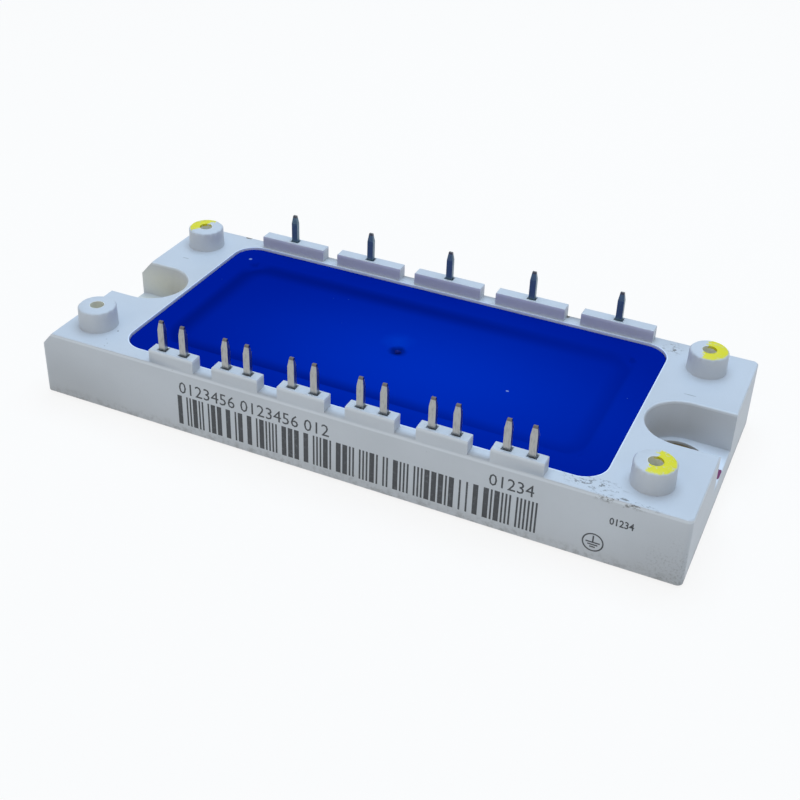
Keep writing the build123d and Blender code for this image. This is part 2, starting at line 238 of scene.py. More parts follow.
class ModuleSettings(bpy.types.PropertyGroup):
    """Everything that can be changed, in the groups above."""

    plastics: PointerProperty(type=PlasticSettings)
    metals: PointerProperty(type=MetalSettings)
    printing: PointerProperty(type=PrintSettings)
    marks: PointerProperty(type=MarkSettings)
    stage: PointerProperty(type=StageSettings)


# Surfaces worked out as whole arrays


def hang(name, mesh, finish):
    """Makes a mesh a piece of the module, with a finish."""
    mesh.materials.clear()
    mesh.materials.append(finish)
    piece = bpy.data.objects.new(name, mesh)
    bpy.context.scene.collection.objects.link(piece)
    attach(piece, "root")
    return piece


def add_piece(name, points, faces, finish, smooth=False):
    """Makes a piece from arrays of points and faces."""
    mesh = bpy.data.meshes.new(name)
    mesh.from_pydata(points.tolist(), [], [[int(i) for i in face] for face in faces])
    mesh.update()
    if smooth:
        mesh.shade_smooth()
    hang(name, mesh, finish)


def shown_copy(name, finish, sharp):
    """A copy of a CAD piece with its small chamfers shaded round and its flats shaded flat.

    The copy's loose triangles are merged. An edge stays sharp where its faces turn by more
    than the sharp angle, or where it lies on the border of the sloped end. Each smooth corner
    then takes the direction of its largest faces.
    """
    mesh = frame["nodes"][name].data.copy()
    mesh.name = f"{name}_shown"
    loose = bmesh.new()
    loose.from_mesh(mesh)
    bmesh.ops.remove_doubles(loose, verts=loose.verts, dist=0.001 * MM)
    loose.to_mesh(mesh)
    loose.free()
    if "custom_normal" in mesh.attributes:
        mesh.attributes.remove(mesh.attributes["custom_normal"])
    mesh.shade_smooth()
    mesh.set_sharp_from_angle(angle=sharp)
    points = np.empty(len(mesh.vertices) * 3)
    mesh.vertices.foreach_get("co", points)
    ends = np.empty(len(mesh.edges) * 2, dtype=int)
    mesh.edges.foreach_get("vertices", ends)
    foot = np.abs(points.reshape(-1, 3)[ends].reshape(-1, 2, 3) - SLOPE_FOOT)[..., (0, 2)]
    on_slope = (foot < 0.01 * MM).all((1, 2))
    kept = np.empty(len(mesh.edges), dtype=bool)
    sharp_edges = mesh.attributes.get("sharp_edge")
    sharp_edges.data.foreach_get("value", kept)
    sharp_edges.data.foreach_set("value", kept | on_slope)
    piece = hang(mesh.name, mesh, finish)
    even = piece.modifiers.new("Even shading", "WEIGHTED_NORMAL")
    even.keep_sharp = True
    even.weight = 80
    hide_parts(name)


def joined(parts):
    """One pair of point and face arrays from several, with each part's faces counted on."""
    points, faces, start = [], [], 0
    for part_points, part_faces in parts:
        points.append(part_points)
        faces.extend(part_faces + start)
        start += len(part_points)
    return np.concatenate(points), faces


def blocks(low, high):
    """Blocks between pairs of corners.

    Each of a block's eight points is its low corner plus 0 or 1 times its size on each axis.
    """
    unit = np.array([(i, j, k) for k in (0, 1) for j in (0, 1) for i in (0, 1)])
    sides = np.array(
        [(0, 2, 3, 1), (4, 5, 7, 6), (0, 1, 5, 4), (2, 6, 7, 3), (0, 4, 6, 2), (1, 3, 7, 5)]
    )
    points = low[:, None] + unit[None] * (high - low)[:, None]
    faces = np.arange(len(low))[:, None, None] * len(unit) + sides
    return points.reshape(-1, 3), faces.reshape(-1, 4)


def band(path, width, depth, across, closed):
    """A flat band carried along a path.

    The band's four corners at a point of the path are half the width to either side of it, as
    it is and sunk by the depth vector. The side direction is the cross product of the path's
    own direction and the across vector. A closed band joins its last corners to its first.
    """
    ahead = np.roll(path, -1, 0) - np.roll(path, 1, 0) if closed else np.gradient(path, axis=0)
    side = np.cross(ahead, across)
    side *= (width / 2 / np.linalg.norm(side, axis=1))[:, None]
    rails = np.stack((path + side, path - side, path - side + depth, path + side + depth), 1)
    count = len(path)
    here = np.arange(count if closed else count - 1)[:, None] * 4
    after = (here + 4) % (count * 4)
    rail, turn = np.arange(4), (np.arange(4) + 1) % 4
    faces = np.stack((here + rail, after + rail, after + turn, here + turn), -1).reshape(-1, 4)
    if not closed:
        ends = np.array([(0, 1, 2, 3), (3, 2, 1, 0)]) + np.array([[0], [count * 4 - 4]])
        faces = np.concatenate((faces, ends))
    return rails.reshape(-1, 3), faces


def turned(radii, heights, centre, stretch, waves, turns):
    """A profile turned about an upright axis, from one pole to the other.

    A point is the centre plus its radius times the cosine and sine of its angle, each times
    the stretch on that axis. The radius swells by a sum of sine waves round the turn, given
    as size, count and phase. The first and last entries of the profile are the two poles.
    """
    angle = np.linspace(0, 2 * np.pi, turns, endpoint=False)
    swell = 1 + sum(size * np.sin(count * angle + phase) for size, count, phase in waves)
    reach = radii[1:-1, None] * swell
    rings = np.stack(
        (
            reach * np.cos(angle) * stretch[0],
            reach * np.sin(angle) * stretch[1],
            heights[1:-1, None] + 0 * reach,
        ),
        -1,
    )
    poles = np.array([(0, 0, heights[0]), (0, 0, heights[-1])])
    points = np.concatenate((rings.reshape(-1, 3), poles)) + np.array(centre)
    around = np.arange(turns)
    after = np.roll(around, -1)
    row = np.arange(len(reach) - 1)[:, None] * turns
    sides = np.stack((around + row, after + row, after + row + turns, around + row + turns), -1)
    last = (len(reach) - 1) * turns
    first_pole = np.full(turns, len(points) - 2)
    last_pole = first_pole + 1
    lower = np.stack((first_pole, after, around), -1)
    upper = np.stack((last_pole, around + last, after + last), -1)
    return points, [*sides.reshape(-1, 4), *lower, *upper]


# Node trees


def spaced(values):
    """Values by the names of their sockets, from keywords with _ for a space."""
    return {key.replace("_", " "): value for key, value in values.items()}


class Nodes:
    """A node tree in the making. A node's inputs take values, or links from other sockets."""

    def __init__(self, tree):
        self.tree = tree
        tree.nodes.clear()

    def put(self, kind, inputs=None, **settings):
        """Adds a node, placed in rows of eight, with its settings and its inputs."""
        row, column = divmod(len(self.tree.nodes), 8)
        made = self.tree.nodes.new(kind)
        made.location = (column * 200, -row * 300)
        for key, value in settings.items():
            setattr(made, key, value)
        for key, value in (inputs or {}).items():
            if isinstance(value, bpy.types.NodeSocket):
                self.tree.links.new(value, made.inputs[key])
            else:
                made.inputs[key].default_value = value
        return made

    def math(self, operation, *values):
        """The result of a Math node on sockets and numbers."""
        return self.put("ShaderNodeMath", dict(enumerate(values)), operation=operation).outputs[0]

    def vector(self, operation, *values):
        """The outputs of a Vector Math node on sockets and vectors."""
        return self.put(
            "ShaderNodeVectorMath", dict(enumerate(values)), operation=operation
        ).outputs

    def both(self, first, second):
        """One mask as far as the other one says."""
        return self.math("MULTIPLY", first, second)

    def noise(self, place, scale, detail, roughness=0.5):
        """Noise from 0 to 1, with its scale to the metre."""
        inputs = {"Vector": place, "Scale": scale, "Detail": detail, "Roughness": roughness}
        return self.put("ShaderNodeTexNoise", inputs).outputs["Fac"]

    def shifted(self, value, noise, ragged):
        """A value shifted to either side by noise, times how ragged it is."""
        return self.math("MULTIPLY_ADD", self.math("SUBTRACT", noise, 0.5), ragged, value)

    def ramp(self, value, low, high, start=0.0, end=1.0):
        """Carries a value from one range to another, with soft ends."""
        return self.put(
            "ShaderNodeMapRange",
            {"Value": value, "From Min": low, "From Max": high, "To Min": start, "To Max": end},
            interpolation_type="SMOOTHSTEP",
        ).outputs["Result"]

    def between(self, value, rise, fall):
        """1 between a rise and a fall, each given by its two ends, and 0 outside them."""
        return self.both(self.ramp(value, *rise), self.ramp(value, *fall, 1.0, 0.0))

    def seen(self):
        """1 for light paths that show the place itself, in the picture or in metal or glass."""
        path = self.put("ShaderNodeLightPath").outputs
        direct = self.math("MAXIMUM", path["Is Camera Ray"], path["Is Glossy Ray"])
        return self.math("MAXIMUM", direct, path["Is Transmission Ray"])


def open_group(name, values):
    """The nodes of a new group that takes a place and the named values, and its inputs."""
    tree = bpy.data.node_groups.new(name, "ShaderNodeTree")
    for label, value in {"Vector": (0, 0, 0), **values}.items():
        kind = "NodeSocketFloat" if isinstance(value, float) else "NodeSocketVector"
        socket = tree.interface.new_socket(name=label, in_out="INPUT", socket_type=kind)
        socket.default_value = value
    nodes = Nodes(tree)
    return nodes, nodes.put("NodeGroupInput").outputs


def close_group(nodes, **results):
    """Gives a group its named outputs."""
    for label in results:
        nodes.tree.interface.new_socket(name=label, in_out="OUTPUT", socket_type="NodeSocketFloat")
    nodes.put("NodeGroupOutput", results)
    return nodes.tree


def skin_group():
    """Unevenness of a moulded or plated skin: a fine grain, and a slow drift of tone."""
    nodes, given = open_group("Skin", {"Grains per mm": 4.0})
    scale = nodes.math("MULTIPLY", given["Grains per mm"], 1 / MM)
    grain = nodes.noise(given["Vector"], scale, 3.0, 0.6)
    return close_group(nodes, Grain=grain, Drift=nodes.noise(given["Vector"], 90.0, 2.0))


def spot_group():
    """A mark about a centre: 1 inside, falling to 0 over the soft part of the radius.

    The distance from the centre, with each axis divided by its reach, is shifted by noise.
    """
    nodes, given = open_group(
        "Spot",
        {
            "Centre": (0, 0, 0), "Reach": (MM, MM, MM), "Ragged": 0.5, "Noise per mm": 1.0,
            "Soft": 0.3,
        },
    )
    away = nodes.vector("SUBTRACT", given["Vector"], given["Centre"])[0]
    length = nodes.vector("LENGTH", nodes.vector("DIVIDE", away, given["Reach"])[0])["Value"]
    scale = nodes.math("MULTIPLY", given["Noise per mm"], 1 / MM)
    noise = nodes.noise(given["Vector"], scale, 4.0, 0.65)
    inner = nodes.math("SUBTRACT", 1.0, given["Soft"])
    length = nodes.shifted(length, noise, given["Ragged"])
    return close_group(nodes, Mask=nodes.ramp(length, inner, 1.0, 1.0, 0.0))


def speck_group():
    """Scattered specks: the cells of a Voronoi pattern whose own random number is low."""
    nodes, given = open_group("Specks", {"Cells per mm": 0.6, "Size": 0.06, "Share": 0.15})
    scale = nodes.math("MULTIPLY", given["Cells per mm"], 1 / MM)
    cells = nodes.put("ShaderNodeTexVoronoi", {"Vector": given["Vector"], "Scale": scale}).outputs
    number = nodes.put("ShaderNodeSeparateColor", {0: cells["Color"]}).outputs[0]
    near = nodes.math("LESS_THAN", cells["Distance"], given["Size"])
    chosen = nodes.math("LESS_THAN", number, given["Share"])
    return close_group(nodes, Mask=nodes.both(near, chosen))


def streak_group():
    """Broken streaks or blotches: noise pulled along the axes, kept where it is over a level."""
    nodes, given = open_group("Streaks", {"Per mm": (1, 1, 1), "Level": 0.5, "Soft": 0.12})
    metres = nodes.vector("MULTIPLY", given["Per mm"], (1 / MM, 1 / MM, 1 / MM))[0]
    noise = nodes.noise(nodes.vector("MULTIPLY", given["Vector"], metres)[0], 1.0, 6.0, 0.7)
    top = nodes.math("ADD", given["Level"], given["Soft"])
    return close_group(nodes, Mask=nodes.ramp(noise, given["Level"], top))


def side_group():
    """One side of a ragged line: the share of the way along a direction, shifted by noise."""
    nodes, given = open_group(
        "Side",
        {"Centre": (0, 0, 0), "Toward": (1, 0, 0), "Ragged": 0.6 * MM, "Soft": 0.3 * MM},
    )
    away = nodes.vector("SUBTRACT", given["Vector"], given["Centre"])[0]
    along = nodes.vector("DOT_PRODUCT", away, given["Toward"])["Value"]
    noise = nodes.noise(given["Vector"], 1300.0, 4.0)
    along = nodes.shifted(along, noise, given["Ragged"])
    return close_group(nodes, Mask=nodes.ramp(along, 0.0, given["Soft"]))


def outline_group():
    """The distance from a rounded rectangle about the Z axis, at its least minus the radius.

    It is the length of the part of |x|, |y| beyond the inner rectangle, less the corner radius,
    where the inner rectangle is the half size less the radius.
    """
    nodes, given = open_group("Outline", {"Half size": (1, 1, 0), "Radius": 1 * MM})
    folded = nodes.vector("ABSOLUTE", given["Vector"])[0]
    inner = nodes.vector("SUBTRACT", given["Half size"], given["Radius"])[0]
    beyond = nodes.vector("SUBTRACT", folded, inner)[0]
    outer = nodes.vector("MAXIMUM", beyond, (0, 0, 0))[0]
    level = nodes.vector("MULTIPLY", outer, (1, 1, 0))[0]
    far = nodes.vector("LENGTH", level)["Value"]
    return close_group(nodes, Distance=nodes.math("SUBTRACT", far, given["Radius"]))


GROUP_MAKERS = {
    "Skin": skin_group, "Spot": spot_group, "Specks": speck_group, "Streaks": streak_group,
    "Side": side_group, "Outline": outline_group,
}


class Finish(Nodes):
    """A material in the making: a Principled BSDF on Object coordinates and a running colour."""

    def __init__(self, name, colour, roughness, metallic=0.0, **constants):
        self.material = bpy.data.materials.new(name)
        self.material.use_nodes = True
        super().__init__(self.material.node_tree)
        self.material.diffuse_color = self.colour = (*colour, 1.0)
        fixed = {"Base Color": self.colour, "Roughness": roughness, "Metallic": metallic}
        self.shader = self.put("ShaderNodeBsdfPrincipled", {**fixed, **spaced(constants)})
        self.output = self.put("ShaderNodeOutputMaterial", {"Surface": self.shader.outputs[0]})
        self.place = self.put("ShaderNodeTexCoord").outputs["Object"]

    def feed(self, socket, value):
        """Feeds one of the shader's sockets."""
        self.tree.links.new(value, self.shader.inputs[socket])

    def group(self, kind, **values):
        """The outputs of a shared effect set on the Object coordinates with its own values."""
        tree = bpy.data.node_groups.get(kind) or GROUP_MAKERS[kind]()
        inputs = {"Vector": self.place, **spaced(values)}
        return self.put("ShaderNodeGroup", inputs, node_tree=tree).outputs

    def spot(self, centre, reach, *, ragged, noise=1.0, soft):
        """The mask of a mark about a centre, shifted by noise of so many waves to the mm."""
        return self.group(
            "Spot", Centre=centre, Reach=reach, Ragged=ragged, Noise_per_mm=noise, Soft=soft
        )["Mask"]

    def streaks(self, per_mm, *, level, soft):
        """The mask of streaks, or of even blotches where one number is given to the millimetre."""
        per_mm = np.broadcast_to(per_mm, 3)
        return self.group("Streaks", Per_mm=per_mm, Level=level, Soft=soft)["Mask"]

    def outline(self, half_size, radius):
        """The distance from a rounded rectangle about the Z axis."""
        return self.group("Outline", Half_size=(*half_size, 0), Radius=radius)["Distance"]

    def axis(self, letter):
        """One of the Object coordinates."""
        return self.put("ShaderNodeSeparateXYZ", {0: self.place}).outputs[letter]

    def tint(self, mask, colour, strength=1.0):
        """Lays a colour over the running one as far as the mask says."""
        if strength != 1.0:
            mask = self.math("MULTIPLY", mask, strength)
        # In a Mix node the colours are input sockets 6 and 7 and output socket 2
        inputs = {0: mask, 6: self.colour, 7: (*colour, 1.0)}
        self.colour = self.put("ShaderNodeMix", inputs, data_type="RGBA").outputs[2]
        self.feed("Base Color", self.colour)

    def bump(self, grains_per_mm, depth):
        """Raises the surface by a fine grain, where 1 is the depth in metres."""
        grain = self.group("Skin", Grains_per_mm=grains_per_mm)["Grain"]
        inputs = {"Strength": 1.0, "Distance": depth, "Height": grain}
        self.feed("Normal", self.put("ShaderNodeBump", inputs).outputs[0])


def shade(colour, share):
    """A colour made darker or lighter by a share."""
    return [min(1.0, part * share) for part in colour]


def simple_finish(name, colour, roughness, metallic=0.0, **constants):
    """A finish with a slow drift of tone, faint blotches and a fine grain."""
    finish = Finish(name, colour, roughness, metallic, **constants)
    drift = finish.group("Skin")["Drift"]
    finish.tint(finish.ramp(drift, 0.35, 0.65), shade(colour, 0.86), 0.6)
    finish.tint(finish.streaks(0.8, level=0.52, soft=0.12), shade(colour, 0.8), 0.35)
    glossy, matt = roughness - 0.04, roughness + 0.05
    finish.feed("Roughness", finish.ramp(drift, 0.3, 0.7, glossy, matt))
    finish.bump(4.0, 0.008 * MM)
    return finish.material


def dress(names, material):
    """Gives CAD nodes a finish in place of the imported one."""
    for name in names:
        materials = frame["nodes"][name].data.materials
        materials.clear()
        materials.append(material)


def nodes_of(*starts):
    """The CAD nodes whose names begin with any of the words."""
    return [name for name in frame["nodes"] if name.startswith(starts)]


# Operators, one for each piece or group of like pieces


class POWERMODULE_OT_frame(bpy.types.Operator):
    """Finish the moulded frame: grain, painted highlights on the edges and round the lid, specks,
    scuffs, grime, painted shade at the ends of the front wall, painted light in the post holes and
    notches, and paint
    """

    bl_idname = "power_module.frame"
    bl_label = "Frame"

    def execute(self, context):
        plastics = context.scene.power_module.plastics
        colour, dirt = plastics.frame_colour, plastics.dirt_colour
        finish = Finish("Frame moulding", colour, plastics.frame_roughness)
        drift = finish.group("Skin")["Drift"]
        finish.tint(finish.ramp(drift, 0.35, 0.65), shade(colour, 0.94), 0.7)
        finish.tint(finish.streaks(2.2, level=0.5, soft=0.25), shade(colour, 0.93), 0.5)
        self.add_edge_highlights(finish, colour, plastics.rim_highlight_colour)
        specks = finish.group("Specks", Cells_per_mm=0.6, Size=0.05, Share=0.14)
        finish.tint(specks["Mask"], dirt, 0.3)
        crumbs = finish.group("Specks", Cells_per_mm=1.1, Size=0.16, Share=0.3)
        by_post = finish.spot(
            (-42.5 * MM, -19.5 * MM, WALL_TOP), mm(6, 3, 1), ragged=0.4, noise=0.4, soft=0.5
        )
        finish.tint(finish.both(crumbs["Mask"], by_post), dirt, 0.5)
        self.add_scuffs(finish, dirt)
        self.add_grime_and_end_shade(finish, dirt)
        self.add_hole_glow(finish, plastics.hole_glow_colour)
        self.add_notch_glow(finish, plastics)
        self.add_paint(finish, context.scene.power_module.marks.post_colour)
        self.add_single_marks(finish, dirt)
        finish.bump(5.0, 0.008 * MM)
        shown_copy("housing_frame", finish.material, FRAME_SHARP)
        return {"FINISHED"}

    def add_edge_highlights(self, finish, colour, rim):
        """Painted highlights on the rounded upper edges of the walls and pedestals, and a painted
        pale-blue highlight round the lid's opening.
        """
        height = finish.axis("Z")
        # Painted highlight: a lighter band just under the top edge of the walls.
        wall = finish.between(
            height, (WALL_TOP - 0.7 * MM, WALL_TOP - 0.4 * MM),
            (WALL_TOP - 0.2 * MM, WALL_TOP - 0.02 * MM),
        )
        finish.tint(wall, shade(colour, 1.3), 0.7)
        # Painted highlight: a lighter band just under the pedestals' tops, kept away from the
        # posts.
        pedestal = finish.between(
            height, (PEDESTAL_TOP - 0.8 * MM, PEDESTAL_TOP - 0.15 * MM),
            (PEDESTAL_TOP - 0.1 * MM, PEDESTAL_TOP - 0.01 * MM),
        )
        from_ends = finish.outline((POST_X - 4 * MM, -2 * WALL_Y), 1 * MM)
        away_from_posts = finish.ramp(from_ends, -0.4 * MM, 0.0, 1.0, 0.0)
        finish.tint(finish.both(pedestal, away_from_posts), shade(colour, 1.35), 0.7)
        # Painted highlight: pale blue over the opening's rim, laid over the shade in the gap beside
        # the lid.
        opening = finish.outline(OPENING_HALF, 4 * MM)
        finish.tint(finish.ramp(opening, 0.04 * MM, 0.22 * MM, 1.0, 0.0), rim)

    def add_scuffs(self, finish, dirt):
        """Rubbed dirt at the front wall's top edge and by the back right pedestal."""
        streaks = finish.streaks((1.1, 1.7, 1.7), level=0.52, soft=0.08)
        for centre, reach in (
            ((39.0, -20.3, 11.8), (6.5, 2.0, 0.7)), ((43.5, -22.3, 11.5), (7.0, 1.0, 0.9)),
            ((40.3, 20.0, 11.8), (2.4, 2.4, 0.7)),
        ):
            zone = finish.spot(mm(*centre), mm(*reach), ragged=0.8, noise=0.7, soft=0.8)
            finish.tint(finish.both(streaks, zone), dirt, 0.9)

    def add_grime_and_end_shade(self, finish, dirt):
        """Dirt along the foot of the walls, painted shade toward both ends of the front wall, and
        dirt thickest at the front right corner.
        """
        foot = finish.ramp(finish.axis("Z"), 0.4 * MM, 2.4 * MM, 1.0, 0.0)
        finish.tint(finish.both(foot, finish.streaks(0.8, level=0.44, soft=0.2)), dirt, 0.35)
        # Painted shade: the front wall darker toward both ends, where less light falls.
        for end, width in ((FRAME_LOW.x, 30), (FRAME_HIGH.x, 16)):
            centre, reach = (end, FRAME_LOW.y, 2 * MM), mm(width, 2, 11)
            film = finish.spot(centre, reach, ragged=0.2, noise=0.1, soft=1.0)
            finish.tint(film, dirt, 0.22)
        centre = (FRAME_HIGH.x, FRAME_LOW.y, 1 * MM)
        corner = finish.spot(centre, mm(9, 5, 9), ragged=0.8, noise=0.5, soft=0.95)
        finish.tint(finish.both(corner, finish.streaks(2.8, level=0.48, soft=0.2)), dirt, 0.48)

    def add_hole_glow(self, finish, colour):
        """Painted light: cream inside the posts' holes, standing for light that comes through the
        moulding.
        """
        reach = (POST_HOLE * 1.2, POST_HOLE * 1.2, 12 * MM)
        for side_x in (-1, 1):
            for side_y in (-1, 1):
                centre = (side_x * POST_X, side_y * POST_Y, POST_TOP - 4 * MM)
                finish.tint(finish.spot(centre, reach, ragged=0.0, soft=0.15), colour)

    def add_notch_glow(self, finish, plastics):
        """Painted light: lighter walls in the left notch and a lighter floor in the right one."""
        for centre, reach, ragged, colour in (
            (mm(-49, 0, 8), mm(12, 9, 6), 0.1, shade(plastics.hole_glow_colour, 0.9)),
            ((48 * MM, 0, NOTCH_FLOOR), mm(10, 8, 0.25), 0.0, shade(plastics.frame_colour, 1.3)),
        ):
            finish.tint(finish.spot(centre, reach, ragged=ragged, soft=0.5), colour)

    def add_paint(self, finish, colour):
        """Yellow paint brushed over one side of the tops of three posts."""
        thick = finish.ramp(finish.streaks(1.4, level=0.55, soft=0.12), 0.0, 1.0, 1.0, 0.5)
        for centre, toward, start in (
            ((POST_X, -POST_Y), (0.99, -0.12), -0.6),
            ((POST_X, POST_Y), (1.0, 0.0), -0.7),
            ((-POST_X, POST_Y), (-0.94, 0.34), 0.3),
        ):
            place, toward = np.array((*centre, POST_TOP)), np.array((*toward, 0))
            side = finish.group(
                "Side", Centre=place + toward * start * MM, Toward=toward, Ragged=2.4 * MM,
                Soft=0.3 * MM,
            )
            top = finish.spot(place, mm(3.3, 3.3, 0.5), ragged=0.35, noise=1.2, soft=0.18)
            finish.tint(finish.both(finish.both(side["Mask"], top), thick), colour)

    def add_single_marks(self, finish, dirt):
        """Single scuffs and specks, each with its centre, reach and strength."""
        for centre, reach, strength in (
            ((-40.9, 22.3, 11.8), (0.8, 0.5, 0.4), 0.9),
            ((21.6, 22.0, 11.8), (0.36, 0.5, 0.4), 0.85),
            ((-42.4, -16.9, 11.8), (0.16, 0.16, 0.2), 0.8),
            ((44.1, -22.0, 11.8), (0.7, 0.2, 0.2), 0.7),
            ((-46.9, 9.9, 11.8), (0.75, 0.13, 0.2), 0.45),
            ((46.0, 7.7, 11.8), (1.0, 0.12, 0.2), 0.45),
        ):
            mark = finish.spot(mm(*centre), mm(*reach), ragged=0.9, noise=2.5, soft=0.3)
            finish.tint(mark, dirt, strength)


class POWERMODULE_OT_lid(bpy.types.Operator):
    """Finish the lid: a painted reflection that is paler towards the middle, a painted shadow
    beside the step, a halo by the gate mark and fine dust
    """

    bl_idname = "power_module.lid"
    bl_label = "Lid"

    def execute(self, context):
        plastics = context.scene.power_module.plastics
        colour, gloss = plastics.lid_colour, plastics.lid_roughness
        halo_colour, gate_colour = (0.0, 0.044, 0.50), (0.0, 0.004, 0.07)
        dust_colour, speck_colour = (0.10, 0.17, 0.45), (0.25, 0.33, 0.60)
        finish = Finish("Lid moulding", colour, gloss, Specular_IOR_Level=0.0)
        # Painted reflection: paler blue towards the middle of the panel.
        middle = finish.spot(
            (7 * MM, -4 * MM, PANEL_Z), mm(50, 28, 9), ragged=0.1, noise=0.05, soft=1.0
        )
        finish.tint(middle, plastics.lid_sheen_colour)
        # Painted shadow: a darker band on the panel beside the step, strongest at the left and
        # fading towards the right.
        step = finish.outline(STEP_HALF, 5 * MM)
        step_shadow = finish.between(step, (-4.0 * MM, -0.9 * MM), (-0.9 * MM, 0.4 * MM))
        to_left = finish.ramp(finish.axis("X"), -10 * MM, 50 * MM, 1.0, 0.25)
        finish.tint(finish.both(step_shadow, to_left), shade(colour, 0.62), 0.7)
        halo = finish.spot(
            (-1.2 * MM, 2.8 * MM, PANEL_Z), mm(3.4, 3.2, 3), ragged=0.8, noise=0.5, soft=0.9
        )
        finish.tint(halo, halo_colour, 0.5)
        gate = finish.spot((0, 0, PANEL_Z), mm(1.9, 1.9, 0.9), ragged=0.6, noise=0.8, soft=0.8)
        finish.tint(gate, gate_colour, 0.8)
        dust = finish.group("Specks", Cells_per_mm=0.4, Size=0.035, Share=0.16)
        finish.tint(dust["Mask"], dust_colour, 0.4)
        for centre, reach in (
            ((-36.7, 15.5, 11.4), (0.4, 0.4, 0.3)), ((20.0, -2.8, 10.8), (0.3, 0.25, 0.2)),
        ):
            speck = finish.spot(mm(*centre), mm(*reach), ragged=0.5, noise=2.5, soft=0.4)
            finish.tint(speck, speck_colour, 0.8)
        drift = finish.group("Skin")["Drift"]
        finish.feed("Roughness", finish.ramp(drift, 0.3, 0.7, gloss - 0.03, gloss + 0.05))
        finish.bump(4.0, 0.006 * MM)
        shown_copy("lid", finish.material, LID_SHARP)
        return {"FINISHED"}


class POWERMODULE_OT_gate_stub(bpy.types.Operator):
    """Add the torn stub that stands in the lid's gate mark"""

    bl_idname = "power_module.gate_stub"
    bl_label = "Gate stub"

    def execute(self, context):
        plastics = context.scene.power_module.plastics
        share = np.array([0.0, 0.0, 0.35, 0.7, 0.92, 1.0, 1.0])
        radii = np.array([0.0, 0.55, 0.45, 0.36, 0.24, 0.1, 0.0]) * MM
        foot = PANEL_Z - 0.32 * MM
        points, faces = turned(
            radii, foot + share * plastics.stub_height, (0, 0, 0), (1.1, 0.9),
            ((0.2, 3, 0.6), (0.1, 5, 0.0)), turns=24,
        )
        finish = simple_finish(
            "Torn gate", shade(plastics.lid_colour, 0.6), 0.6, Specular_IOR_Level=0.1
        )
        add_piece("gate_stub", points, faces, finish, smooth=True)
        return {"FINISHED"}


class POWERMODULE_OT_terminals(bpy.types.Operator):
    """Finish the terminals: lengthwise streaks in the plating and dull cut tips"""

    bl_idname = "power_module.terminals"
    bl_label = "Terminals"

    def execute(self, context):
        metals = context.scene.power_module.metals
        for name, colour, metallic, start in (
            ("Tin plating", metals.terminal_colour, 1.0, "control_pin_"),
            ("Dull tin plating", metals.dull_colour, 0.35, "power_pin_"),
        ):
            finish = Finish(name, colour, 0.3, metallic=metallic)
            streaks = finish.streaks((5.0, 5.0, 0.9), level=0.46, soft=0.2)
            finish.tint(streaks, shade(colour, 0.66), 0.7)
            tips = finish.ramp(finish.axis("Z"), PIN_TOP - 0.4 * MM, PIN_TOP - 0.3 * MM)
            finish.tint(tips, metals.cut_colour, 0.8)
            finish.feed("Roughness", finish.ramp(streaks, 0.0, 1.0, 0.28, 0.42))
            dress(nodes_of(start), finish.material)
        return {"FINISHED"}


class POWERMODULE_OT_base(bpy.types.Operator):
    """Finish the base plate, the bushes and the adhesive bead"""

    bl_idname = "power_module.base"
    bl_label = "Base plate and bushes"

    def execute(self, context):
        metals = context.scene.power_module.metals
        stain_colour, bead_colour = (0.40, 0.33, 0.25), (0.42, 0.42, 0.40)
        plate = Finish("Nickel plating", metals.plate_colour, 0.33, metallic=1.0)
        lines = plate.streaks((0.06, 5.0, 1.0), level=0.42, soft=0.2)
        plate.tint(lines, shade(metals.plate_colour, 0.78), 0.6)
        stains = plate.streaks(0.07, level=0.5, soft=0.2)
        plate.tint(stains, stain_colour, 0.4)
        plate.feed("Roughness", plate.ramp(stains, 0.0, 1.0, 0.28, 0.44))
        shown_copy("base_plate", plate.material, PLATE_SHARP)
        bush = Finish("Tarnished bush", metals.bush_colour, 0.42, metallic=1.0)
        blotches = bush.streaks(0.7, level=0.42, soft=0.35)
        bush.tint(blotches, shade(metals.bush_colour, 0.6), 0.7)
        bush.feed("Roughness", bush.ramp(blotches, 0.0, 1.0, 0.35, 0.6))
        bush.bump(6.0, 0.02 * MM)
        dress(nodes_of("mounting_bush_"), bush.material)
        dress(["frame_seal"], simple_finish("Adhesive", bead_colour, 0.55))
        return {"FINISHED"}


class POWERMODULE_OT_inside(bpy.types.Operator):
    """Finish the substrates, the chips, the wires and the gel under the lid"""

    bl_idname = "power_module.inside"
    bl_label = "Inner stacks"

    def execute(self, context):
        # Name of the finish, starts of the nodes' names, colour, roughness and metallic
        kinds = (
            ("Back copper", ("back_copper",), (0.62, 0.28, 0.16), 0.40, 1.0),
            ("Track copper", ("copper_tracks",), (0.66, 0.31, 0.18), 0.35, 1.0),
            ("Alumina", ("ceramic",), (0.82, 0.81, 0.76), 0.50, 0.0),
            ("Plate solder", ("substrate_solder",), (0.45, 0.45, 0.47), 0.40, 1.0),
            ("Chip solder", ("chip_solder",), (0.50, 0.50, 0.52), 0.35, 1.0),
            ("Transistor metal", ("upper_igbt", "lower_igbt"), (0.55, 0.55, 0.57), 0.45, 1.0),
            ("Diode metal", ("upper_diode", "lower_diode"), (0.60, 0.59, 0.57), 0.40, 1.0),
            ("Bond aluminium", ("bond_wires",), (0.78, 0.78, 0.79), 0.30, 1.0),
        )
        for name, starts, colour, roughness, metallic in kinds:
            dress(nodes_of(*starts), simple_finish(name, colour, roughness, metallic))
        gel = simple_finish(
            "Silicone gel", (0.75, 0.80, 0.83), 0.12, Transmission_Weight=0.9, IOR=1.41
        )
        dress(["silicone_gel"], gel)
        return {"FINISHED"}


